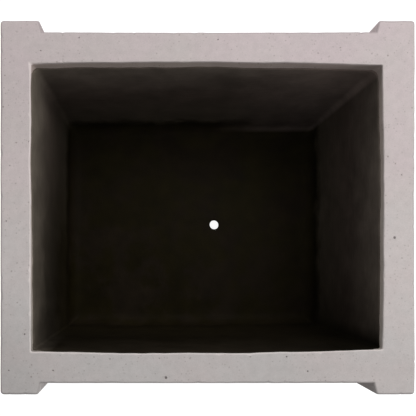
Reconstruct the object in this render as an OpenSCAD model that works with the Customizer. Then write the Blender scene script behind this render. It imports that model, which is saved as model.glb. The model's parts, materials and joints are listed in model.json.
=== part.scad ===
// Bonsai pot: a cast stone box on four corner posts, open at the top, with a
// tapered drain hole, a brushed sealer coat inside, a wire cage cast into the
// stone and a rubber pad under each post.
// Origin: centre of the resting surface. +X right, +Y back, +Z up. Millimetres.

/* [Overall size] */
// Width, left to right
pot_w = 400; // [340:5:480]
// Depth over the corner posts, front to back
pot_d = 361; // [310:1:440]
// Height from the resting surface to the rim
pot_h = 255; // [220:5:320]

/* [Walls and floor] */
// Thickness of the left and right walls
side_wall = 29.5; // [27:0.5:36]
// Thickness of the front and back walls
long_wall = 29; // [27:0.5:36]
// Thickness of the floor
floor_t = 30; // [28:1:40]
// How far each inside wall leans in between the rim and the floor
draft = 5; // [2:0.5:8]
// Radius of the inside edge between wall and floor
floor_round = 16; // [6:1:20]

/* [Corner posts] */
// How far the posts stand proud of the front and back walls
post_proud = 11; // [6:0.5:15]
// Width of a post where it meets the wall
post_root_w = 38.8; // [36:0.2:46]
// Width of a post at its outer face
post_tip_w = 36.2; // [34:0.2:42]

/* [Stand] */
// Height of the gap under the floor, above the resting surface
gap_h = 25; // [18:1:32]
// Radius of the upper corners of the gap
gap_round = 8; // [4:1:12]
// Thickness of a rubber pad
pad_t = 3; // [2:0.5:5]
// Diameter of a rubber pad
pad_d = 26; // [20:1:32]

/* [Drain hole] */
// Place of the hole, right of the middle
drain_x = 32; // [0:1:33]
// Place of the hole, back from the middle
drain_y = 2; // [0:1:10]
// Diameter of the hole at the floor
drain_d = 12.4; // [10:0.2:16]
// Length of the straight throat of the hole
throat_l = 5; // [4:0.5:8]
// Diameter of the hole where the former left the underside
drain_exit_d = 23; // [18:0.5:26]

/* [Sealer coat] */
// Thickness of the coat
coat_t = 0.8; // [0.5:0.1:1.5]
// Bare stone left between the rim and the coat
bare_lip = 8; // [4:0.5:15]

/* [Wire cage] */
// Diameter of the hoop wire
hoop_wire = 4; // [3:0.5:5]
// Diameter of the upright corner bars
bar_d = 6; // [5:0.5:7]
// Diameter of the floor mesh wire
mesh_wire = 3; // [2.5:0.5:3.5]
// Pitch of the floor mesh
mesh_pitch = 50; // [45:5:60]
// Diameter of the tie wire
tie_wire = 1.2; // [1:0.1:1.6]

/* [Hidden] */

// Faces drawn on a circle, and on one rounded corner of an outline
round_fn = 64;
corner_steps = 6;
// Extra length that takes a cut through a face
past = 1;
// Stone left between two wires that are tied, so that they don't merge
tie_gap = 0.4;

stone_colour = [0.74, 0.70, 0.69];
sealer_colour = [0.08, 0.07, 0.05];
wire_colour = [0.62, 0.64, 0.66];
rubber_colour = [0.12, 0.12, 0.12];

// Outside of the walls
body_d = pot_d - 2 * post_proud;
floor_z = gap_h + floor_t;
// Half sizes of the opening at the rim
mouth_x = pot_w / 2 - side_wall;
mouth_y = body_d / 2 - long_wall;
// The coat reaches up to here
coat_top = pot_h - bare_lip;
// Footprint of a post in depth: the proud part, the wall behind it and a little more
post_past_wall = 1;
post_d = post_proud + long_wall + post_past_wall;

// Middle line of the hoops: the middle of the walls
hoop_x = (pot_w - side_wall) / 2;
hoop_y = (body_d - long_wall) / 2;
hoop_bend = 12;
rim_hoop_cover = 25;
rim_hoop_z = pot_h - rim_hoop_cover;
waist_hoop_z = (floor_z + pot_h) / 2;
// The floor mesh lies in the lower part of the floor, the base hoop on top of it
mesh_cover = 10;
mesh_z = gap_h + mesh_cover;
weld_sink = 0.3;
base_hoop_z = mesh_z + 1.5 * mesh_wire - weld_sink + tie_gap + hoop_wire / 2;
// The corner bars stand inside the bends of the hoops
bar_in = hoop_bend - hoop_wire / 2 - tie_gap - bar_d / 2;
bar_x = hoop_x - hoop_bend + bar_in * cos(45);
bar_y = hoop_y - hoop_bend + bar_in * sin(45);
bar_cover = 12;
// A tie is a ring round a bar and a hoop, turned half way between them
tie_reach = (hoop_wire + bar_d + tie_gap) / 2;
tie_r = tie_reach + tie_gap + tie_wire / 2;
tie_in = bar_in + (hoop_wire + tie_gap) / 2;
// The outer mesh wires stop short of the hoops' middle line
mesh_end = 7;
mesh_edge = 20;

sides = [
  ["front_left", -1, -1], ["front_right", 1, -1],
  ["back_left", -1, 1], ["back_right", 1, 1]
];

// Points of an arc round c, from angle a to angle b
function arc(c, r, a, b, steps) =
  [for (i = [0:steps]) let (t = a + (b - a) * i / steps) c + r * [cos(t), sin(t)]];

// One quarter of the plan: a post with its inner side drafted
function post_corner(sx, sy) = [
  [sx * pot_w / 2, sy * pot_d / 2],
  [sx * (pot_w / 2 - post_tip_w), sy * pot_d / 2],
  [sx * (pot_w / 2 - post_root_w), sy * body_d / 2]
];

// A list in the other order
function turned(points) = [for (i = [len(points) - 1:-1:0]) points[i]];

// Section of the hollow: leaning sides from the floor up, rounded into the floor.
// inset moves it in on every side, and the floor up with it.
function hollow_section(mouth, inset) =
  let (
    lean = atan(draft / (pot_h - floor_z)),
    z0 = floor_z + inset,
    // where the leaning side meets the raised floor
    foot = mouth - draft - inset / cos(lean) + inset * tan(lean),
    r = floor_round - inset,
    cx = foot - r * (1 - sin(lean)) / cos(lean),
    top = pot_h + past,
    right = arc([cx, z0 + r], r, -90, -lean, corner_steps),
    edge = [foot + (top - z0) * tan(lean), top]
  )
  concat(right, [edge], [[-edge[0], edge[1]]], [for (p = turned(right)) [-p[0], p[1]]]);

// The hollow of the pot, moved in by inset on every side
module hollow(inset = 0) {
  intersection() {
    rotate([90, 0, 0])
      translate([0, 0, -pot_d])
        linear_extrude(2 * pot_d)
          polygon(hollow_section(mouth_x, inset));
    rotate([90, 0, 90])
      translate([0, 0, -pot_w])
        linear_extrude(2 * pot_w)
          polygon(hollow_section(mouth_y, inset));
  }
}

// Outline of the gap under the floor: a flat arch between two posts
module gap_outline(span) {
  x = span / 2;
  polygon(concat(
    [[-x, -past], [x, -past]],
    arc([x - gap_round, gap_h - gap_round], gap_round, 0, 90, corner_steps),
    arc([gap_round - x, gap_h - gap_round], gap_round, 90, 180, corner_steps)
  ));
}

// The gaps run under the pot in both directions and leave the four posts
module stand_gaps() {
  rotate([90, 0, 0])
    linear_extrude(2 * pot_d, center = true)
      gap_outline(pot_w - 2 * post_root_w);
  rotate([90, 0, 90])
    linear_extrude(2 * pot_w, center = true)
      gap_outline(pot_d - 2 * post_d);
}

// A straight throat under the floor, then a cone that widens downwards
module drain_hole() {
  cone_l = floor_t - throat_l;
  translate([drain_x, drain_y, floor_z - throat_l])
    cylinder(h = throat_l + past, d = drain_d, $fn = round_fn);
  translate([drain_x, drain_y, gap_h])
    cylinder(h = cone_l, d1 = drain_exit_d, d2 = drain_d, $fn = round_fn);
  translate([drain_x, drain_y, gap_h - past])
    cylinder(h = past, d = drain_exit_d, $fn = round_fn);
}

// A closed hoop of wire with bent corners, its middle line at height z
module hoop(z) {
  straight_x = 2 * (hoop_x - hoop_bend);
  straight_y = 2 * (hoop_y - hoop_bend);
  translate([0, 0, z]) {
    for (s = [-1, 1]) {
      translate([-straight_x / 2, s * hoop_y, 0])
        rotate([0, 90, 0])
          cylinder(h = straight_x, d = hoop_wire, $fn = round_fn);
      translate([s * hoop_x, straight_y / 2, 0])
        rotate([90, 0, 0])
          cylinder(h = straight_y, d = hoop_wire, $fn = round_fn);
    }
    for (q = [0:3])
      let (sx = (q == 0 || q == 3) ? 1 : -1, sy = q < 2 ? 1 : -1)
        translate([sx * (hoop_x - hoop_bend), sy * (hoop_y - hoop_bend), 0])
          rotate([0, 0, 90 * q])
            rotate_extrude(angle = 90, $fn = round_fn)
              translate([hoop_bend, 0])
                circle(d = hoop_wire, $fn = round_fn);
  }
}

// An upright bar in the corner given by the signs sx and sy
module bar(sx, sy) {
  low = pad_t + bar_cover;
  translate([sx * bar_x, sy * bar_y, low])
    cylinder(h = pot_h - bar_cover - low, d = bar_d, $fn = round_fn);
}

// Places of the mesh wires on one axis: the drain hole lies half way between two
function mesh_places(centre, half) =
  let (
    first = centre + mesh_pitch / 2,
    last = ceil(2 * half / mesh_pitch)
  )
  [for (k = [-last:last]) let (p = first + k * mesh_pitch) if (abs(p) < half) p];

// Welded mat: wires along X, and wires along Y sunk into them by the weld
module mesh_mat() {
  reach_x = hoop_x - mesh_end;
  reach_y = hoop_y - mesh_end;
  for (y = mesh_places(drain_y, hoop_y - mesh_edge))
    translate([-reach_x, y, mesh_z])
      rotate([0, 90, 0])
        cylinder(h = 2 * reach_x, d = mesh_wire, $fn = round_fn);
  for (x = mesh_places(drain_x, hoop_x - mesh_edge))
    translate([x, reach_y, mesh_z + mesh_wire - weld_sink])
      rotate([90, 0, 0])
        cylinder(h = 2 * reach_y, d = mesh_wire, $fn = round_fn);
}

// A ring of tie wire round each crossing of a corner bar and a hoop
module ties() {
  for (side = sides)
    for (z = [rim_hoop_z, waist_hoop_z, base_hoop_z])
      translate([
        side[1] * (hoop_x - hoop_bend + tie_in * cos(45)),
        side[2] * (hoop_y - hoop_bend + tie_in * sin(45)),
        z
      ])
        rotate([0, 0, atan2(side[2], side[1])])
          rotate([45, 0, 0])
            rotate_extrude($fn = round_fn)
              translate([tie_r, 0])
                circle(d = tie_wire, $fn = round_fn);
}

// The whole cage, as it lies in the stone
module cage() {
  hoop(rim_hoop_z);
  hoop(waist_hoop_z);
  hoop(base_hoop_z);
  mesh_mat();
  ties();
  for (side = sides)
    bar(side[1], side[2]);
}

module cast_body() {
  color(stone_colour)
    difference() {
      translate([0, 0, pad_t])
        linear_extrude(pot_h - pad_t)
          polygon(concat(
            post_corner(1, 1), turned(post_corner(-1, 1)),
            post_corner(-1, -1), turned(post_corner(1, -1))
          ));
      hollow();
      stand_gaps();
      drain_hole();
      cage();
    }
}

// A thin film on the walls and floor, cut off level under the rim
module sealer_coat() {
  color(sealer_colour)
    difference() {
      hollow();
      hollow(coat_t);
      translate([-pot_w / 2, -pot_d / 2, coat_top])
        cube([pot_w, pot_d, pot_h]);
      translate([drain_x, drain_y, gap_h])
        cylinder(h = 2 * floor_t, d = drain_d, $fn = round_fn);
    }
}

module rim_hoop() {
  color(wire_colour)
    hoop(rim_hoop_z);
}

module waist_hoop() {
  color(wire_colour)
    hoop(waist_hoop_z);
}

module base_hoop() {
  color(wire_colour)
    hoop(base_hoop_z);
}

module floor_mesh() {
  color(wire_colour)
    mesh_mat();
}

module tie_wires() {
  color(wire_colour)
    ties();
}

module corner_bar(sx, sy) {
  color(wire_colour)
    bar(sx, sy);
}

module foot_pad(sx, sy) {
  color(rubber_colour)
    translate([sx * (pot_w - post_root_w) / 2, sy * (pot_d - post_d) / 2, 0])
      cylinder(h = pad_t, d = pad_d, $fn = round_fn);
}

cast_body();
sealer_coat();
rim_hoop();
waist_hoop();
base_hoop();
floor_mesh();
tie_wires();
corner_bar(-1, -1);  // corner_bar_front_left
corner_bar(1, -1);  // corner_bar_front_right
corner_bar(-1, 1);  // corner_bar_back_left
corner_bar(1, 1);  // corner_bar_back_right
foot_pad(-1, -1);  // foot_pad_front_left
foot_pad(1, -1);  // foot_pad_front_right
foot_pad(-1, 1);  // foot_pad_back_left
foot_pad(1, 1);  // foot_pad_back_right
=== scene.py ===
# %% [markdown]
# # A cast stone bonsai pot
# The pot is one casting of pale, slightly pink stone on four corner posts, brushed black inside.
# It was packed as a CAD model, and that model is loaded here as a fixed frame. Nothing in it moves.
# Its width is an estimate and its height a choice: the record's size says how each came about.
# We rebuild the surfaces that an eye rests on, because a real casting has worn edges, walls that
# bow a little and a brushed film with an uneven edge, and give every piece its own finish.

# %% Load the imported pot
import json
import math

import bmesh
import bpy
import numpy as np
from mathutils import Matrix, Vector


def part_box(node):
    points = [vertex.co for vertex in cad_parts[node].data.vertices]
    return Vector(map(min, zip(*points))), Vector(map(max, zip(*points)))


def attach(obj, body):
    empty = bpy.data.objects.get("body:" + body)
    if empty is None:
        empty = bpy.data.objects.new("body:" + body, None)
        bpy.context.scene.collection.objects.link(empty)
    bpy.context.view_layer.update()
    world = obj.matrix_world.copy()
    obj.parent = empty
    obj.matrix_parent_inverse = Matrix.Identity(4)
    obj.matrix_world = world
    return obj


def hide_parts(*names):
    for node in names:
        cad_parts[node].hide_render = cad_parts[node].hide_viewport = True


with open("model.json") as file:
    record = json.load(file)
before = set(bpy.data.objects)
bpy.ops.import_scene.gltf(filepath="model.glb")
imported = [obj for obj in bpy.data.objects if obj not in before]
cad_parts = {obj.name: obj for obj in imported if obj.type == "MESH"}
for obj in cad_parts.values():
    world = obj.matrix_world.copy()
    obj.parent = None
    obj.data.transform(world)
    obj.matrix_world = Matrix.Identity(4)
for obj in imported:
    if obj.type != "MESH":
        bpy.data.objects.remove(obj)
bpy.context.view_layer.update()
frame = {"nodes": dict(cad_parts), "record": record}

# %% [markdown]
# ## Sizes
# Every size comes from the loaded frame where it can be read there: the stone's box, the film's
# box and the drain hole's mount. What a box can't tell, such as the width of a post, is named here
# once, in millimetres, as the casting has it.

# %% Read the sizes
mm = 0.001
stone_low, stone_high = (np.array(corner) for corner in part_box("cast_body"))
film_low, film_high = (np.array(corner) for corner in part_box("sealer_coat"))
half_w, half_d, rim_z = stone_high
foot_z = stone_low[2]
floor_z = film_low[2]

post_proud = 11 * mm
post_root_w = 38.8 * mm
post_tip_w = 36.2 * mm
post_depth = 41 * mm
gap_z = 25 * mm
gap_round = 8 * mm
lean = 5 * mm
floor_round = 16 * mm
film_t = 0.8 * mm

drain = next(m for m in frame["record"]["mounts"] if m["name"] == "drain_hole")
drain_at = np.array(drain["pos_m"][:2])
drain_r = drain["dims"]["r_mm"] * mm
drain_exit_r = 11.5 * mm

wall_y = half_d - post_proud
root_x = half_w - post_root_w
tip_x = half_w - post_tip_w
foot_y = half_d - post_depth
# the film's box is the hollow just under the rim, so the lean gives the mouth itself
rise = (rim_z - film_high[2]) / (rim_z - floor_z)
mouth_x, mouth_y = film_high[:2] + lean * rise
print(f"opening {2000 * mouth_x:.0f} x {2000 * mouth_y:.0f} mm, {1000 * (rim_z - floor_z):.0f} mm deep")

# %% [markdown]
# ## Slow random waves
# A hand-made mould is never quite straight. We need one smooth random function of place, so that
# two pieces that touch bend together. A sum of a few sine waves in random directions is enough,
# is the same on every run because it is seeded, and needs no loop over points.

# %% A wavy function of place
def waves(points, length, seed, count=14):
    """The sum of count sine waves in random directions, each about one length long, scaled so
    that it mostly stays between -1 and 1. points has x, y, z in its last axis."""
    rng = np.random.default_rng(seed)
    way = rng.normal(size=(3, count))
    way /= np.linalg.norm(way, axis=0)
    turns = points @ way / (length * rng.uniform(0.7, 1.5, count))
    return np.sin(2 * np.pi * (turns + rng.random(count))).sum(-1) / math.sqrt(1.5 * count)


def ease(x):
    """Goes smoothly from 0 to 1 as x does, and stays there outside."""
    x = np.clip(x, 0, 1)
    return x * x * (3 - 2 * x)


# %% [markdown]
# ## The outline of the plan
# Seen from above the pot is a rectangle whose corner posts stand proud of the front and back.
# The inner side of each post is drafted, so that it leaves the mould. We walk round one quarter of
# the outline, from the middle of the back wall to the middle of the right wall, and mirror it.
# Corners are rounded with a parabola, the shape that a worn arris tends to. The same walk can be
# made a little further in, which gives the rings that round the edges off.

# %% One quarter of the outline
back_middle, root, tip = (0, wall_y), (root_x, wall_y), (tip_x, half_d)
corner, right_middle = (half_w, half_d), (half_w, 0)
turning = np.array([back_middle, root, tip, corner, right_middle])
foot_lean = 0.8 * mm


def moved_in(points, inset):
    """The corners of a line moved in by inset: each by the mitre (n1 + n2) / (1 + n1.n2) of the
    normals on its two sides. The line runs clockwise, so a normal is its direction turned left."""
    way = np.diff(points, axis=0)
    way /= np.hypot(*way.T)[:, None]
    normal = np.stack([-way[:, 1], way[:, 0]], 1)
    before, after = normal[[0, *range(len(normal))]], normal[[*range(len(normal)), -1]]
    return points - inset * (before + after) / (1 + (before * after).sum(1))[:, None]


def stretch(a, b, count):
    """count points on the straight line from a to b, without b."""
    return a + (b - a) * np.arange(count)[:, None] / count


def bend(a, corner, b, size, steps=6):
    """A corner rounded by a parabola that leaves the line from a, size before the corner, and
    joins the line to b, size after it: (1-t)^2 start + 2t(1-t) corner + t^2 end."""
    start = corner + (a - corner) * size / np.hypot(*(a - corner))
    end = corner + (b - corner) * size / np.hypot(*(b - corner))
    t = np.linspace(0, 1, steps + 1)[:, None]
    return (1 - t) ** 2 * start + 2 * t * (1 - t) * corner + t**2 * end


def quarter(inset):
    """The stations from the middle of the back to the middle of the right side. They are close
    together over the arches under the walls, from the gap's ceiling to the foot."""
    a, b, c, d, e = moved_in(turning, inset)
    turn = np.linspace(0, np.pi / 2, 9)[:, None]
    arch_x = root_x - gap_round + (gap_round - foot_lean) * np.sin(turn)
    arch_y = foot_y - gap_round + (gap_round - foot_lean) * np.sin(turn[::-1])
    at_tip = bend(b, c, d, max(2.4 * mm - inset, 0.15 * mm))
    at_corner = bend(c, d, e, max(4.0 * mm - inset, 0.15 * mm))
    foot = np.array([e[0], foot_y])
    return np.concatenate([
        stretch(a, np.array([root_x - gap_round, a[1]]), 84),
        np.hstack([arch_x, np.full_like(arch_x, a[1])]),
        stretch(b, at_tip[0], 6),
        at_tip,
        stretch(at_tip[-1], at_corner[0], 18)[1:],
        at_corner,
        stretch(at_corner[-1], foot, 20)[1:],
        [foot],
        np.hstack([np.full_like(arch_y, e[0]), arch_y]),
        stretch(np.array([e[0], foot_y - gap_round]), e, 72)[1:],
        [e],
    ])


# %% The whole outline
def all_round(part):
    """Mirrors a quarter to the other three. Mirrored quarters run backwards, so that the loop
    keeps its direction, clockwise from above, and each leaves out its last point."""
    quarters = [part, part[::-1] * [1, -1], part * [-1, -1], part[::-1] * [-1, 1]]
    return np.concatenate([q[:-1] for q in quarters])


def cast_by_hand(plan):
    """The four posts aren't quite alike: the notch beside each is a millimetre out of place. It
    is shifted along the wall by a bell of the distance, so that the outer corners stay. The
    middles of the back and the right side bow in by a parabola, 0.4 mm deep."""
    x, y = plan.T
    shift = np.where(y > 0, 1.4, np.where(x > 0, -1.2, 0.2)) * mm
    near = np.exp(-(((np.abs(x) - root_x) / (16 * mm)) ** 2)) * ease(np.abs(y) / wall_y * 4 - 3)
    bow = 0.4 * mm
    bow_x = np.where(x > root_x, np.clip(1 - (y / foot_y) ** 2, 0, 1), 0) * bow
    bow_y = np.where(y > foot_y, np.clip(1 - (x / root_x) ** 2, 0, 1), 0) * bow
    made = plan + np.column_stack([shift * near - bow_x, -bow_y])
    return np.clip(made, [-half_w, -half_d], [half_w, half_d])


far = 3.5 * mm
outline = cast_by_hand(all_round(quarter(0)))
further_in = cast_by_hand(all_round(quarter(far)))
print(len(outline), "stations round the pot")

# %% [markdown]
# ## Rings
# The casting is a torus in the eyes of a mesh: up the outside, over the rim, down the inside,
# across the floor, down the drain hole and back under the floor to the outside. So its whole skin
# is one function of two parameters, the station round the pot and the place along that section.
# Each ring below gives the stations at one place of the section.

# %% Rings at the outside and under the pot
def outer_ring(inset, z):
    """The outline moved in by inset, which may differ from station to station, at height z."""
    share = np.asarray(inset).reshape(-1, 1) / far
    plan = outline + (further_in - outline) * share
    return np.column_stack([plan, np.broadcast_to(z, len(plan))])


def arch(place, edge):
    """Height of the gap's ceiling at a distance from the middle: level, then a quarter ellipse
    down to the foot's side, which leans a little, then the foot."""
    side = gap_z - gap_round
    run = (np.abs(place) - (edge - gap_round)) / (gap_round - foot_lean)
    curve = side + gap_round * np.sqrt(np.clip(1 - np.clip(run, 0, 1) ** 2, 0, 1))
    foot = ease((np.abs(place) - edge + foot_lean) / foot_lean)
    return curve + (foot_z - curve) * foot


def ceiling(plan):
    """Height of the underside over a place: the higher of the two arches that cross there."""
    return np.maximum(arch(plan[:, 0], root_x), arch(plan[:, 1], foot_y))


def under_ring(inset):
    """The outline clamped to the rectangle between the feet, moved in by inset."""
    edge = np.array([root_x, foot_y]) - inset
    plan = np.clip(outline, -edge, edge)
    return np.column_stack([plan, ceiling(plan)])


def hole_ring(toward, radius, z):
    """A circle round the drain hole, each point on the line from its middle to the ring toward."""
    way = toward[:, :2] - drain_at
    way = way / np.hypot(*way.T)[:, None]
    return np.column_stack([drain_at + radius * way, np.broadcast_to(z, len(way))])


# %% [markdown]
# The walls of the hollow lean in towards the floor. At the rim its corners are almost sharp, and a
# little lower they are rounded, where the core of the mould was dressed. Each wall bows by a
# millimetre or two, which shows along the inner edge of the rim. Pushing the plan with one smooth
# field lets the stone and the film on it bend together.

# %% Rings of the hollow
# for each wall: how far its middle stands out, how much it slants, how much it bows, in mm
wall_shape = {"back": (0.2, -0.6, -2.3), "front": (0.3, -1.0, -2.8),
              "right": (-0.3, 0.1, -1.5), "left": (0.6, 0.2, -0.4)}


def wall_offset(name, along):
    """A parabola along the wall: middle + slant * along + bow * along^2, along from -1 to 1."""
    middle, slant, bow = wall_shape[name]
    return (middle + slant * along + bow * along**2) * mm


def pushed(plan):
    """Moves a place of the hollow by the shape of the walls, in full at a wall and by less
    towards the middle."""
    x, y = plan[:, 0] / mouth_x, plan[:, 1] / mouth_y
    out_x = np.where(x > 0, wall_offset("right", y), -wall_offset("left", y)) * x**2
    out_y = np.where(y > 0, wall_offset("back", x), -wall_offset("front", x)) * y**2
    return plan + np.column_stack([out_x, out_y])


def hollow_ring(z, inset=0.0, spread=0.0):
    """The hollow at height z, moved in by inset, or out by spread for the edge of the rim.
    A station at the share g of the way to the outer corner is at the same share of the way to
    the hollow's corner, and the corner is a quarter circle, larger at the back."""
    depth = np.broadcast_to(rim_z - z, len(outline))
    in_by = inset - spread + lean * np.clip(depth / (rim_z - floor_z), 0, 1)
    dressed = np.where(outline[:, 1] > 0, 5.0, 1.2)
    radius = (1.0 + dressed * ease(depth / (15 * mm))) * mm + 0 * in_by
    half_x, half_y = mouth_x - in_by, mouth_y - in_by
    gx, gy = np.abs(outline / [half_w, half_d]).T
    from_corner = np.where(gy >= gx, half_x * (1 - gx), -half_y * (1 - gy))
    angle = np.clip(1 - from_corner / radius, 0, 2) * np.pi / 4
    x = half_x - radius + radius * np.sin(angle) - np.clip(from_corner - radius, 0, None)
    y = half_y - radius + radius * np.cos(angle) - np.clip(-from_corner - radius, 0, None)
    side = np.where(outline < 0, -1.0, 1.0)
    plan = pushed(np.column_stack([x, y]) * side)
    ring = np.column_stack([plan, rim_z - depth])
    wobble = 0.3 * mm * waves(ring, 60 * mm, 11) + 0.16 * mm * waves(ring, 17 * mm, 12)
    middle = ring * [1, 1, 0] / np.hypot(*plan.T)[:, None]
    return ring + middle * wobble[:, None]


# %% [markdown]
# ## From rings to a mesh
# Rings one above the other make a grid of quads that closes on itself both ways. Where stations
# were clamped together under the feet the quads have no width, and merging points removes them.
# The sign of the volume tells whether the faces point outwards.

# %% Make a piece from rings
def piece_from_rings(name, rings, painted_edge_light=None):
    """Joins ring i to ring i+1 and the last to the first, station by station, merges what lies
    together and turns the faces out. The extra number for each ring, -1 for painted shade and 1
    for a painted highlight on an edge, is kept with the points."""
    points = np.stack(rings)
    rows, columns = points.shape[:2]
    number = np.arange(rows * columns).reshape(rows, columns)
    up, over = np.roll(number, -1, 0), np.roll(number, -1, 1)
    quads = np.stack([number, over, np.roll(up, -1, 1), up], -1).reshape(-1, 4)
    mesh = bpy.data.meshes.new(name)
    mesh.from_pydata(points.reshape(-1, 3).tolist(), [], quads.tolist())
    if painted_edge_light is not None:
        layer = mesh.attributes.new("painted_edge_light", "FLOAT", "POINT")
        layer.data.foreach_set("value", np.repeat(painted_edge_light, columns).astype(np.float32))
    clean = bmesh.new()
    clean.from_mesh(mesh)
    bmesh.ops.remove_doubles(clean, verts=clean.verts, dist=1e-6)
    bmesh.ops.dissolve_degenerate(clean, edges=clean.edges, dist=1e-7)
    if clean.calc_volume(signed=True) < 0:
        bmesh.ops.reverse_faces(clean, faces=clean.faces)
    clean.to_mesh(mesh)
    litres = 1000 * clean.calc_volume(signed=True)
    clean.free()
    mesh.polygons.foreach_set("use_smooth", np.ones(len(mesh.polygons), bool))
    piece = bpy.data.objects.new(name, mesh)
    bpy.context.collection.objects.link(piece)
    print(f"{name}: {len(mesh.polygons)} faces, {litres:.3f} litres")
    return piece


def between(a, b, shares):
    """Rings on the way from ring a to ring b."""
    return [a + (b - a) * share for share in shares]


def rounded_edge(start, edge, end, steps=4):
    """Rings over an edge: the parabola from ring start to ring end that the edge pulls out."""
    t = np.linspace(0, 1, steps + 1)
    return [(1 - k) ** 2 * start + 2 * k * (1 - k) * edge + k**2 * end for k in t]


# %% [markdown]
# ## The casting
# Cast stone leaves the mould with crisp edges that soon wear. The size of each rounding changes
# along the edge, and here and there a crumb is missing. A crumb is a short, deeper rounding: a
# bell-shaped bump in the size of the rounding, at a random place. The faces next to a rounding
# start with a narrow ring, so that their shading stays flat.

# %% How worn the edges are
def worn(ring, seed, usual, crumbs):
    """Size of the rounding at each station: a wavy usual size plus bell-shaped crumbs. Beside a
    post it stays usual, because rings with different roundings would cross in that corner."""
    rng = np.random.default_rng(seed)
    change = usual * (0.22 * waves(ring, 45 * mm, seed) + 0.10 * waves(ring, 9 * mm, seed + 1))
    for place in rng.integers(len(ring), size=crumbs):
        away = np.linalg.norm(ring - ring[place], axis=1)
        change += rng.uniform(0.4, 1.6) * mm * np.exp(-(away / (rng.uniform(1, 2.4) * mm)) ** 2)
    beside_post = np.abs(np.abs(ring[:, 0]) - root_x) + np.clip(wall_y - np.abs(ring[:, 1]), 0, 1)
    change *= ease(beside_post / (5 * mm) - 1)
    return np.clip(usual + change, 0.4 * mm, 3.0 * mm)


rim_out = outer_ring(0, rim_z)
rim_in = hollow_ring(rim_z)
round_out = worn(rim_out, 21, 2.0 * mm, 36)
round_in = worn(rim_in, 31, 1.2 * mm, 30)
# the back left corner of the opening was rubbed down further
from_corner = np.hypot(rim_in[:, 0] + mouth_x, rim_in[:, 1] - mouth_y)
round_in += 1.8 * mm * np.exp(-((from_corner / (13 * mm)) ** 2))
print(f"rim edges are rounded by {1000 * round_out.min():.1f} to {1000 * round_out.max():.1f} mm")

# %% The outside and the rim
guard = 0.5 * mm
bottom = ceiling(outline)
low_round = 1.0 * mm
wall_foot = outer_ring(0, bottom + low_round)
wall_head = outer_ring(0, rim_z - round_out)
outside = rounded_edge(outer_ring(low_round, bottom), outer_ring(0, bottom), wall_foot)
outside += [wall_foot + [0, 0, guard]]
outside += between(wall_foot, wall_head, np.linspace(0.02, 0.98, 26))
outside += [wall_head - [0, 0, guard]]
outside += rounded_edge(wall_head, rim_out, outer_ring(round_out, rim_z))

rim_start = outer_ring(round_out + guard, rim_z)
# the posts' stations first move straight in to the walls, so that no two cross on the way
block = np.array([half_w, wall_y]) - 4.0 * mm
rim_block = np.column_stack([np.clip(rim_start[:, :2], -block, block), rim_start[:, 2]])
rim_end = hollow_ring(rim_z, spread=round_in + guard)
rim = between(rim_start, rim_block, (0, 0.5)) + between(rim_block, rim_end, np.linspace(0, 1, 8))
rim += rounded_edge(hollow_ring(rim_z, spread=round_in), rim_in, hollow_ring(rim_z - round_in))

# %% [markdown]
# Inside, only the first few centimetres of stone are ever seen: the film covers the rest. So the
# rings are close together down to there and far apart below. The hole was left by a tapered
# former: a short straight throat, then a cone that widens downwards.

# %% The hollow, the drain hole and the underside
def into_floor(inset, lift, degrees):
    """Rings that curve from the wall into the floor: a quarter circle of radius floor_round."""
    r = floor_round - inset
    return [hollow_ring(floor_z + lift + r * (1 - math.sin(a)), inset + r * (1 - math.cos(a)))
            for a in np.radians(degrees)]


inside = [hollow_ring(rim_z - round_in - guard)]
inside += [hollow_ring(rim_z - depth * mm)
           for depth in (4, 7, 10, 13, 16, 20, 24, 28, 34, 60, 110, 160)]
inside += into_floor(0, 0, (0, 30, 60, 90))
floor_edge = inside[-1]
throat_r = drain_r + 0.5 * mm
hole = [hole_ring(floor_edge, 3 * throat_r, floor_z),
        hole_ring(floor_edge, throat_r + 1 * mm, floor_z),
        hole_ring(floor_edge, throat_r, floor_z - 1 * mm),
        hole_ring(floor_edge, throat_r, floor_z - 5 * mm),
        hole_ring(floor_edge, drain_exit_r - 0.6 * mm, gap_z + 1 * mm),
        hole_ring(floor_edge, drain_exit_r, gap_z + 0.3 * mm),
        hole_ring(floor_edge, drain_exit_r + 1 * mm, gap_z)]

ceiling_edge = under_ring(gap_round)
hole_mouth = hole_ring(ceiling_edge, drain_exit_r + 3 * mm, gap_z)
under = between(hole_mouth, ceiling_edge, np.linspace(0, 1, 8) ** 1.3)
arch_steps = gap_round - (gap_round - foot_lean) * np.sin(np.linspace(0, np.pi / 2, 7))[1:]
under += [under_ring(inset) for inset in arch_steps]
between_feet = under_ring(0)
foot_edge = outer_ring(low_round, bottom)
under += [between_feet] + between(between_feet, foot_edge, (0.3, 0.6, 0.85, 0.97))

rings = outside + rim + inside + hole + under
# edge numbers: -1 for painted shade on the outer top edge, 1 for a painted highlight inside
painted_edge_light = np.zeros(len(rings))
painted_edge_light[len(outside) - 4 : len(outside) - 1] = -1
painted_edge_light[len(outside) + len(rim) - 4 : len(outside) + len(rim) - 1] = 1
pot = piece_from_rings("cast_stone_pot", rings, painted_edge_light)
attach(pot, "root")
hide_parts("cast_body")

# %% [markdown]
# ## The brushed film
# The sealer is a thin black film brushed on by hand, so its upper edge wanders. It was kept well
# under the rim at the back and right, and carried almost to the edge at the front and left. In
# the corners, where a brush doesn't reach, it dips. The film is a closed skin: down the inside,
# over the floor, a little way into the hole, and back along the stone.

# %% Where the film stops
# depth of the film's edge under the rim, in mm, at the two ends of each wall and its middle
edge_depth = {"back": (11.0, 12.5, 12.8), "front": (2.2, 1.6, 1.6),
              "left": (8.5, 5.0, 2.2), "right": (7.8, 7.8, 9.0)}
# which of two walls has its way in a corner
pull = {"back": 4, "front": 0.25, "left": 1, "right": 1}


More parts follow.
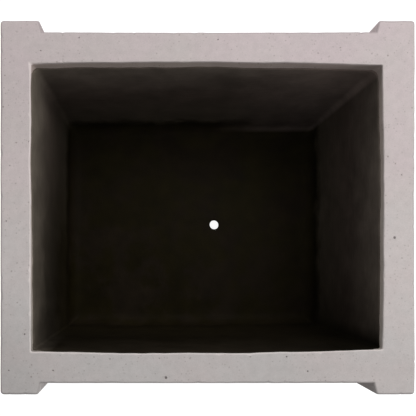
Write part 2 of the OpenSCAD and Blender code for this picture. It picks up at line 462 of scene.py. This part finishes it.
def film_edge():
    """Depth under the rim: a parabola along each wall through its three depths, blended round
    the corners, plus the wander of the brush."""
    x, y = rim_in[:, 0] / mouth_x, rim_in[:, 1] / mouth_y
    place = {"back": (y, x), "front": (-y, x), "left": (-x, y), "right": (x, y)}
    depth, total = 0, 0
    for name, (near, along) in place.items():
        first, middle, last = edge_depth[name]
        own = middle + (last - first) / 2 * along + ((first + last) / 2 - middle) * along**2
        share = pull[name] * ease((near - 0.92) / 0.08) ** 1.5 + 1e-6
        depth, total = depth + share * own, total + share
    wander = 0.7 * waves(rim_in, 70 * mm, 41) + 0.2 * waves(rim_in, 12 * mm, 42)
    return np.clip(depth / total + wander, 1.4, None) * mm


edge_z = rim_z - film_edge()
print(f"film edge {1000 * (rim_z - edge_z.max()):.1f} to {1000 * (rim_z - edge_z.min()):.1f} mm down")

# %% The film itself
fillet_z = floor_z + floor_round
film = [hollow_ring(edge_z, 0.05 * mm), hollow_ring(edge_z + 0.1 * mm, 0.35 * mm)]
film += [hollow_ring(edge_z - 0.7 * mm, film_t)]
for share in np.linspace(0.04, 1, 26) ** 1.25:
    film.append(hollow_ring(edge_z + (fillet_z - edge_z) * share, film_t))
steps = (15, 30, 45, 60, 75, 90)
film += into_floor(film_t, film_t, steps)
film_floor = film[-1]
top = floor_z + film_t
film += between(film_floor, hole_ring(film_floor, drain_r + 3 * mm, top), np.linspace(0, 1, 16)[1:])
film += [hole_ring(film_floor, drain_r + 0.8 * mm, top),
         hole_ring(film_floor, drain_r + 0.1 * mm, top - 0.4 * mm),
         hole_ring(film_floor, drain_r, top - 1.2 * mm),
         hole_ring(film_floor, drain_r, floor_z - 4.6 * mm),
         hole_ring(film_floor, drain_r + 0.4 * mm, floor_z - 4.6 * mm),
         hole_ring(film_floor, drain_r + 0.4 * mm, floor_z - 1 * mm),
         hole_ring(film_floor, throat_r + 1 * mm, floor_z + 0.1 * mm)]
film += into_floor(0.1 * mm, 0.1 * mm, steps)[::-1]
film += [hollow_ring(edge_z + (fillet_z - edge_z) * share, 0.05 * mm) for share in (0.8, 0.4, 0.1)]

coat = piece_from_rings("brushed_sealer", film)
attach(coat, "root")
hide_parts("sealer_coat")

# %% [markdown]
# ## The pads
# Each foot stands on a moulded rubber pad. A pad is a turned shape, a profile carried round a
# circle: flat where it is glued to the stone, a small bead at the edge, and slightly hollow
# underneath so that it grips.

# %% Four rubber pads
def pad_rings(low, high):
    """A profile of radius and height carried round the pad's axis in 48 steps."""
    middle, radius, tall = (low + high) / 2, (high[0] - low[0]) / 2, high[2] - low[2]
    profile = [(0, 1), (0.9, 1), (0.965, 0.97), (0.99, 0.85), (1, 0.6), (0.995, 0.3),
               (0.97, 0.08), (0.92, 0), (0.84, 0), (0.8, 0.1), (0.4, 0.14), (0, 0.15)]
    turn = np.linspace(0, 2 * np.pi, 49)[:-1]
    circle = np.column_stack([np.cos(turn), np.sin(turn), 0 * turn])
    return [circle * radius * r + [middle[0], middle[1], low[2] + tall * z] for r, z in profile]


pads = []
for place in ("front_left", "front_right", "back_left", "back_right"):
    low, high = (np.array(corner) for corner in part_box(f"foot_pad_{place}"))
    pad = piece_from_rings(f"rubber_pad_{place}", pad_rings(low, high))
    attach(pad, "root")
    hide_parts(f"foot_pad_{place}")
    pads.append(pad)

# %% [markdown]
# ## Materials
# Each finish is a small graph of nodes that reads the object's own coordinates, scaled to
# millimetres, so that a pattern's size is its real size. One helper adds a node with its settings
# and links, and one turns a colour as written on a paint chart into the linear values that the
# renderer mixes.

# %% Helpers for materials
def linear(code):
    """An sRGB hex colour as linear RGBA."""
    parts = [int(code[i : i + 2], 16) / 255 for i in (1, 3, 5)]
    return (*[c / 12.92 if c <= 0.04045 else ((c + 0.055) / 1.055) ** 2.4 for c in parts], 1)


def add(tree, kind, inputs=None, **settings):
    """Adds a node, sets its properties, and sets or links its inputs. Returns the node."""
    made = tree.nodes.new("ShaderNode" + kind)
    for name, value in settings.items():
        setattr(made, name, value)
    for name, value in (inputs or {}).items():
        if isinstance(value, bpy.types.NodeSocket):
            tree.links.new(value, made.inputs[name])
        else:
            made.inputs[name].default_value = value
    return made


def new_material(name):
    """A material with an empty graph. Returns it, its tree and the coordinates in mm."""
    material = bpy.data.materials.new(name)
    material.use_nodes = True
    tree = material.node_tree
    tree.nodes.clear()
    place = add(tree, "TexCoord").outputs["Object"]
    in_mm = add(tree, "Mapping", {"Vector": place, "Scale": (1000, 1000, 1000)}).outputs["Vector"]
    return material, tree, in_mm


def ramp(tree, value, stops):
    """A colour ramp through (position, colour) stops."""
    made = add(tree, "ValToRGB", {"Fac": value})
    points = made.color_ramp.elements
    while len(points) < len(stops):
        points.new(0.5)
    for point, (position, colour) in zip(points, stops):
        point.position, point.color = position, colour
    return made.outputs["Color"]


def grey(level):
    """A grey for ramps that carry a number."""
    return (level, level, level, 1)


def noise(tree, where, size, detail=2.0, rough=0.5):
    """Noise whose lumps are about size millimetres across."""
    values = {"Vector": where, "Scale": 1 / size, "Detail": detail, "Roughness": rough}
    return add(tree, "TexNoise", values).outputs["Fac"]


def mix(tree, share, a, b, blend="MIX"):
    """Mixes two colours."""
    made = add(tree, "Mix", data_type="RGBA", blend_type=blend)
    for index, value in ((0, share), (6, a), (7, b)):
        if isinstance(value, bpy.types.NodeSocket):
            tree.links.new(value, made.inputs[index])
        else:
            made.inputs[index].default_value = value
    return made.outputs[2]


def times(tree, a, b):
    """The product of two colours."""
    return mix(tree, 1.0, a, b, "MULTIPLY")


def scattered(tree, where, apart, share, inner, outer):
    """Round spots about apart millimetres apart, in only that share of the places. A spot is full
    up to inner and gone at outer, both as shares of the distance apart."""
    cells = add(tree, "TexVoronoi", {"Vector": where, "Scale": 1 / apart})
    chosen = ramp(tree, cells.outputs["Color"], [(0.78 - share * 0.6, grey(0)),
                                                 (0.82 - share * 0.6, grey(1))])
    spot = ramp(tree, cells.outputs["Distance"], [(inner, grey(1)), (outer, grey(0))])
    return times(tree, spot, chosen)


# %% [markdown]
# ### Cast stone
# Cast stone is a fine concrete of white cement, crushed marble and a little iron pigment, poured
# into a mould. It gives a matte, faintly pink grey, mottled where the mix was wetter, with fine
# grit, a few darker grains, and bug holes: round pits that trapped air leaves, one to three
# millimetres across. The grit is really about half a millimetre. It is drawn at 1.1 mm, so that
# it still shows from an arm's length. The tints that depend on place were set one by one. The dark
# in the pits, the darker near left corner, the lip under the rim and the outer edges are painted
# shade, and the pale inner edges are a painted highlight. The middles of the side walls are paler
# than their ends. They are guesses at the mix and the stains, and some of them may be light rather
# than finish.

# %% Cast stone material
def cast_stone():
    material, tree, where = new_material("cast_stone")
    # the mix is greyer towards the front left, and mottled everywhere
    across = add(tree, "VectorMath", {0: where, 1: (0.0002, 0.0016, 0)}, operation="DOT_PRODUCT")
    slow = noise(tree, where, 55, 4, 0.6)
    place = add(tree, "Math", {0: across.outputs["Value"], 1: slow}, operation="ADD").outputs[0]
    stone = ramp(tree, place, [(0.15, linear("#c8c3c1")), (0.5, linear("#ccc2c0")),
                               (0.85, linear("#cfc1c2"))])
    # the middles of the side walls paler than their ends; painted shade darkens the near left corner
    reach = add(tree, "VectorMath", {0: where}, operation="ABSOLUTE").outputs[0]
    reach = add(tree, "SeparateXYZ", {"Vector": reach})
    ends = add(tree, "MapRange", {"Value": reach.outputs["Y"], "From Min": 60, "From Max": 150})
    stone = times(tree, stone, ramp(tree, ends.outputs["Result"], [(0, grey(1)), (1, grey(0.945))]))
    near = add(tree, "VectorMath", {0: where, 1: (-1, -1, 0)}, operation="DOT_PRODUCT")
    near = add(tree, "MapRange", {"Value": near.outputs["Value"], "From Min": 270, "From Max": 350})
    stone = times(tree, stone, ramp(tree, near.outputs["Result"], [(0, grey(1)), (1, grey(0.90))]))
    # faint level bands, where one batch of the mix settled on another
    level = add(tree, "Mapping", {"Vector": where, "Scale": (0.006, 0.006, 0.07)}).outputs["Vector"]
    bands = ramp(tree, noise(tree, level, 1.0, 4, 0.6), [(0.35, grey(0.94)), (0.6, grey(1.0))])
    stone = times(tree, stone, bands)
    patches = noise(tree, where, 8, 4, 0.6)
    stone = times(tree, stone, ramp(tree, patches, [(0.3, grey(0.92)), (0.65, grey(1.0))]))
    # fine grit
    grit = noise(tree, where, 1.1, 3, 0.65)
    stone = times(tree, stone, ramp(tree, grit, [(0.3, grey(0.90)), (0.7, grey(1.0))]))
    # darker grains of the crushed stone, up to a millimetre
    stirred = add(tree, "VectorMath", {0: where, 1: add(tree, "TexNoise", {
        "Vector": where, "Scale": 0.9, "Detail": 2}).outputs["Color"]}, operation="ADD").outputs[0]
    fine = scattered(tree, stirred, 3.0, 0.42, 0.12, 0.30)
    coarse = scattered(tree, stirred, 6.5, 0.34, 0.08, 0.17)
    grain = mix(tree, 1.0, times(tree, fine, grey(0.50)), times(tree, coarse, grey(0.75)), "LIGHTEN")
    grain = times(tree, grain, ramp(tree, noise(tree, where, 18, 3), [(0.38, grey(0.25)),
                                                                     (0.62, grey(1.0))]))
    stone = mix(tree, grain, stone, linear("#837873"))
    # bug holes: sparse and sunk, some of them larger; the dark in them is painted shade
    small = scattered(tree, stirred, 11, 0.25, 0.035, 0.085)
    large = scattered(tree, stirred, 27, 0.20, 0.030, 0.060)
    pit = mix(tree, 1.0, small, large, "LIGHTEN")
    stone = mix(tree, times(tree, pit, grey(0.75)), stone, linear("#4b423e"))
    # inside, under the rim, the bare stone of the lip is darkened: painted shade where it faces
    # in; a guess: inside, under the rim, the bare stone is stained by soil and sealer
    apart = add(tree, "SeparateXYZ", {"Vector": where})
    lip_shade = add(tree, "MapRange", {"Value": apart.outputs["Z"], "From Min": 1000 * rim_z - 0.8,
                                   "From Max": 1000 * rim_z - 3.5}).outputs["Result"]
    for axis, edge in (("X", mouth_x), ("Y", mouth_y)):
        within = add(tree, "MapRange", {"Value": reach.outputs[axis], "From Min": 1000 * edge + 8,
                                        "From Max": 1000 * edge + 5}).outputs["Result"]
        lip_shade = times(tree, lip_shade, within)
    lip_shaded = times(tree, stone, linear("#ddd8cf"))
    stone = mix(tree, lip_shade, stone, lip_shaded)
    # worn edges: painted shade darkens the outer ones, a painted highlight pales the inner ones
    painted_edge_light = add(tree, "Attribute", attribute_name="painted_edge_light").outputs["Fac"]
    edge_shade = add(tree, "MapRange", {"Value": painted_edge_light, "From Min": 0, "From Max": -1})
    edge_highlight = add(tree, "MapRange", {"Value": painted_edge_light, "To Max": 0.28})
    stone = mix(tree, edge_shade.outputs["Result"], stone, times(tree, stone, grey(0.70)))
    stone = mix(tree, edge_highlight.outputs["Result"], stone, linear("#ebe2dc"))
    # relief: the trowelled face is uneven by a tenth of a millimetre, grit by less
    sunk = add(tree, "Bump", {"Height": pit, "Distance": 0.9 * mm, "Strength": 0.9}, invert=True)
    uneven = noise(tree, where, 14, 4, 0.55)
    rough_skin = add(tree, "Bump", {"Height": uneven, "Distance": 0.5 * mm, "Strength": 0.35,
                                    "Normal": sunk.outputs["Normal"]})
    skin = add(tree, "Bump", {"Height": grit, "Distance": 0.12 * mm, "Strength": 0.6,
                              "Normal": rough_skin.outputs["Normal"]})
    shader = add(tree, "BsdfPrincipled", {"Base Color": stone, "Roughness": 0.88, "IOR": 1.5,
                                          "Normal": skin.outputs["Normal"]})
    add(tree, "OutputMaterial", {"Surface": shader.outputs["BSDF"]})
    return material


# %% [markdown]
# ### Black sealer
# The sealer is a bitumen emulsion, thinned and brushed on in one or two coats. It dries to a
# brown-black film with a soft sheen that keeps the brush's strokes and shows cloudy where it
# soaked in. The strokes run along the walls, so the pattern is stretched level. The tones of the
# walls were set one by one, and they are painted light and shade: paler towards the back and
# right and along the top of the left wall, darker on the front wall. The specular level is far
# below the usual 0.5.

# %% Sealer material
def black_sealer():
    material, tree, where = new_material("black_sealer")
    apart = add(tree, "SeparateXYZ", {"Vector": where})
    clouds = noise(tree, where, 26, 5, 0.62)
    # height on the wall from 0 at the floor to 1 at the rim, with a cloudy border
    height = add(tree, "MapRange", {"Value": apart.outputs["Z"], "From Min": 1000 * floor_z + 8,
                                    "From Max": 1000 * rim_z - 6}).outputs["Result"]
    cloudy = add(tree, "MapRange", {"Value": clouds, "To Min": -0.1, "To Max": 0.1})
    height = add(tree, "Math", {0: height, 1: cloudy.outputs["Result"]}, operation="ADD").outputs[0]
    # darker where it pooled on the floor; painted light makes it paler towards the back and right
    front_left_film = ramp(tree, height, [(0.05, linear("#201b0c")), (0.16, linear("#2e281b")),
                                (0.6, linear("#231e16")), (1.0, linear("#302a22"))])
    back_right_lit_film = ramp(tree, height, [(0.05, linear("#292415")), (0.16, linear("#5c5449")),
                               (0.6, linear("#5a4f48")), (1.0, linear("#6b625a"))])
    across = add(tree, "VectorMath", {0: where, 1: (0.004, 0.0085, 0)}, operation="DOT_PRODUCT")
    side = add(tree, "MapRange", {"Value": across.outputs["Value"], "From Min": -1.1,
                                  "From Max": 0.7}, interpolation_type="SMOOTHSTEP")
    colour = mix(tree, side.outputs["Result"], front_left_film, back_right_lit_film)
    soaked = ramp(tree, noise(tree, where, 60, 5, 0.65), [(0.47, grey(0)), (0.56, grey(0.7))])
    on_floor = ramp(tree, height, [(0.05, grey(1)), (0.16, grey(0))])
    colour = mix(tree, times(tree, soaked, on_floor), colour, linear("#272019"))
    # painted shade on the front wall, most to the right; painted light on the back wall's right end
    right = add(tree, "MapRange", {"Value": apart.outputs["X"], "From Min": 30, "From Max": 130})
    right = right.outputs["Result"]
    front = add(tree, "MapRange", {"Value": apart.outputs["Y"], "From Min": -1000 * mouth_y + 22,
                                   "From Max": -1000 * mouth_y + 6}).outputs["Result"]
    full = ramp(tree, height, [(0.2, linear("#2c261a")), (0.9, linear("#15120c"))])
    colour = mix(tree, times(tree, front, ramp(tree, right, [(0, grey(0.4)), (1, grey(1))])),
                 colour, full)
    back = add(tree, "MapRange", {"Value": apart.outputs["Y"], "From Min": 1000 * mouth_y - 13,
                                  "From Max": 1000 * mouth_y - 9}).outputs["Result"]
    colour = mix(tree, times(tree, back, times(tree, right, grey(0.9))), colour,
                 ramp(tree, height, [(0.1, linear("#655a55")), (1.0, linear("#897a73"))]))
    # painted light: a pale band along the top of the left wall
    left = add(tree, "MapRange", {"Value": apart.outputs["X"], "From Min": -1000 * mouth_x + 20,
                                  "From Max": -1000 * mouth_x + 2}).outputs["Result"]
    left_band_light = ramp(tree, height, [(0.30, grey(0)), (0.72, grey(0.2)), (1.0, grey(0.8))])
    colour = mix(tree, times(tree, left, left_band_light), colour, linear("#6f675d"))
    colour = times(tree, colour, ramp(tree, clouds, [(0.35, grey(0.72)), (0.68, grey(1.0))]))
    level = add(tree, "Mapping", {"Vector": where, "Scale": (0.05, 0.05, 0.8)}).outputs["Vector"]
    strokes = noise(tree, level, 1.0, 3, 0.6)
    colour = times(tree, colour, ramp(tree, strokes, [(0.3, grey(0.8)), (0.7, grey(1.0))]))
    sheen = ramp(tree, clouds, [(0.3, grey(0.5)), (0.7, grey(0.68))])
    lumps = noise(tree, where, 3.0, 3, 0.6)
    base = add(tree, "Bump", {"Height": lumps, "Distance": 0.3 * mm, "Strength": 0.5})
    relief = add(tree, "Bump", {"Height": strokes, "Distance": 0.4 * mm, "Strength": 0.5,
                                "Normal": base.outputs["Normal"]})
    shader = add(tree, "BsdfPrincipled", {"Base Color": colour, "Roughness": sheen, "IOR": 1.5,
                                          "Specular IOR Level": 0.03,
                                          "Normal": relief.outputs["Normal"]})
    add(tree, "OutputMaterial", {"Surface": shader.outputs["BSDF"]})
    return material


# %% [markdown]
# ### Galvanised wire and rubber
# The cage is hot-dip galvanised steel wire: a metal, dull where the zinc has weathered, with
# crystals of zinc a few millimetres across. The pads are moulded natural rubber with carbon
# black, matte and very slightly grainy.

# %% Wire and rubber materials
def galvanised_wire():
    material, tree, where = new_material("galvanised_wire")
    zinc = add(tree, "TexVoronoi", {"Vector": where, "Scale": 1 / 3.0}).outputs["Color"]
    colour = ramp(tree, zinc, [(0.2, linear("#a9adb0")), (0.8, linear("#c3c6c8"))])
    dull = ramp(tree, noise(tree, where, 5, 3), [(0.3, grey(0.35)), (0.7, grey(0.55))])
    drawn = add(tree, "Bump", {"Height": noise(tree, where, 0.5, 2), "Distance": 0.05 * mm})
    shader = add(tree, "BsdfPrincipled", {"Base Color": colour, "Metallic": 1.0, "Roughness": dull,
                                          "Normal": drawn.outputs["Normal"]})
    add(tree, "OutputMaterial", {"Surface": shader.outputs["BSDF"]})
    return material


def moulded_rubber():
    material, tree, where = new_material("moulded_rubber")
    dust = noise(tree, where, 6, 4, 0.6)
    colour = ramp(tree, dust, [(0.4, linear("#1b1b1c")), (0.75, linear("#2b2a29"))])
    grain = noise(tree, where, 0.6, 2)
    skin = add(tree, "Bump", {"Height": grain, "Distance": 0.08 * mm, "Strength": 0.5})
    shader = add(tree, "BsdfPrincipled", {"Base Color": colour, "Roughness": 0.82, "IOR": 1.52,
                                          "Normal": skin.outputs["Normal"]})
    add(tree, "OutputMaterial", {"Surface": shader.outputs["BSDF"]})
    return material


# %% Give each piece its finish
def finish_with(piece, material):
    """Puts one material in every slot of a piece."""
    if not piece.material_slots:
        piece.data.materials.append(material)
    for slot in piece.material_slots:
        slot.material = material


finish_with(pot, cast_stone())
finish_with(coat, black_sealer())
rubber = moulded_rubber()
for pad in pads:
    finish_with(pad, rubber)
wire = galvanised_wire()
cage = [name for name in frame["nodes"] if "hoop" in name or "bar" in name
        or name in ("floor_mesh", "tie_wires")]
for name in cage:
    finish_with(frame["nodes"][name], wire)
print("wire finish on", ", ".join(cage))

# %% [markdown]
# ## The studio
# A pale floor that glows a little, so that it stays white round the pot and through the drain
# hole, a white sky, and one large soft light behind the right corner. The light gives the rim its
# slow fall from the far right corner to the near left.

# %% Floor, sky and light
def for_camera(tree, lit, seen):
    """A strength that is seen for the camera and lit for the light that falls on the pot."""
    ray = add(tree, "LightPath").outputs["Is Camera Ray"]
    return add(tree, "MapRange", {"Value": ray, "To Min": lit, "To Max": seen}).outputs["Result"]


def studio_floor():
    reach = 6.0
    corners = [(-reach, -reach, 0), (reach, -reach, 0), (reach, reach, 0), (-reach, reach, 0)]
    mesh = bpy.data.meshes.new("studio_floor")
    mesh.from_pydata(corners, [], [(0, 1, 2, 3)])
    floor = bpy.data.objects.new("studio_floor", mesh)
    bpy.context.collection.objects.link(floor)
    material, tree, _ = new_material("pale_floor")
    shade = add(tree, "BsdfDiffuse", {"Color": linear("#808080")})
    glow = add(tree, "Emission", {"Color": (1, 1, 1, 1), "Strength": for_camera(tree, 0, 0.95)})
    both = add(tree, "AddShader")
    tree.links.new(shade.outputs[0], both.inputs[0])
    tree.links.new(glow.outputs[0], both.inputs[1])
    add(tree, "OutputMaterial", {"Surface": both.outputs[0]})
    mesh.materials.append(material)
    return floor


def soft_light(name, place, size, power, aim):
    """A square area light that faces the point aim."""
    lamp = bpy.data.lights.new(name, "AREA")
    lamp.shape, lamp.size, lamp.energy = "SQUARE", size, power
    light = bpy.data.objects.new(name, lamp)
    light.location = place
    light.rotation_euler = (Vector(aim) - Vector(place)).to_track_quat("-Z", "Y").to_euler()
    bpy.context.collection.objects.link(light)
    return light


studio_floor()
soft_light("key", (0.52, 0.57, 1.28), 1.2, 10.8, (0, 0, rim_z))
soft_light("low_right", (1.4, -0.35, 0.40), 0.5, 11.0, (0, 0, 0.2))
soft_light("low_back", (-0.45, 1.4, 0.40), 0.5, 9.0, (0, 0, 0.2))
world = bpy.data.worlds.new("white_sky")
world.use_nodes = True
sky = world.node_tree.nodes["Background"]
sky.inputs["Color"].default_value = (1, 1, 1, 1)
world.node_tree.links.new(for_camera(world.node_tree, 0.42, 1.0), sky.inputs["Strength"])
bpy.context.scene.world = world
bpy.context.scene.view_settings.view_transform = "Standard"

# %% [markdown]
# ## The camera
# The camera looks straight down, so that the rim keeps its right angles, and stands over the near
# left part of the pot. A view camera would shift its lens to centre the pot from there, and so do
# we. The field at the height of the rim is just wider than the pot.

# %% Camera
above_rim = 467 * mm
field = 400.8 * mm
stand_x, stand_y = -54 * mm, -60 * mm
look_x, look_y = 0.2 * mm, -0.5 * mm
lens = bpy.data.cameras.new("top_camera")
lens.sensor_width = 36
lens.lens = lens.sensor_width * above_rim / field
lens.shift_x, lens.shift_y = (look_x - stand_x) / field, (look_y - stand_y) / field
camera = bpy.data.objects.new("top_camera", lens)
camera.location = (stand_x, stand_y, rim_z + above_rim)
bpy.context.collection.objects.link(camera)
bpy.context.scene.camera = camera
print(f"lens {lens.lens:.1f} mm, shift {lens.shift_x:.3f}, {lens.shift_y:.3f}")
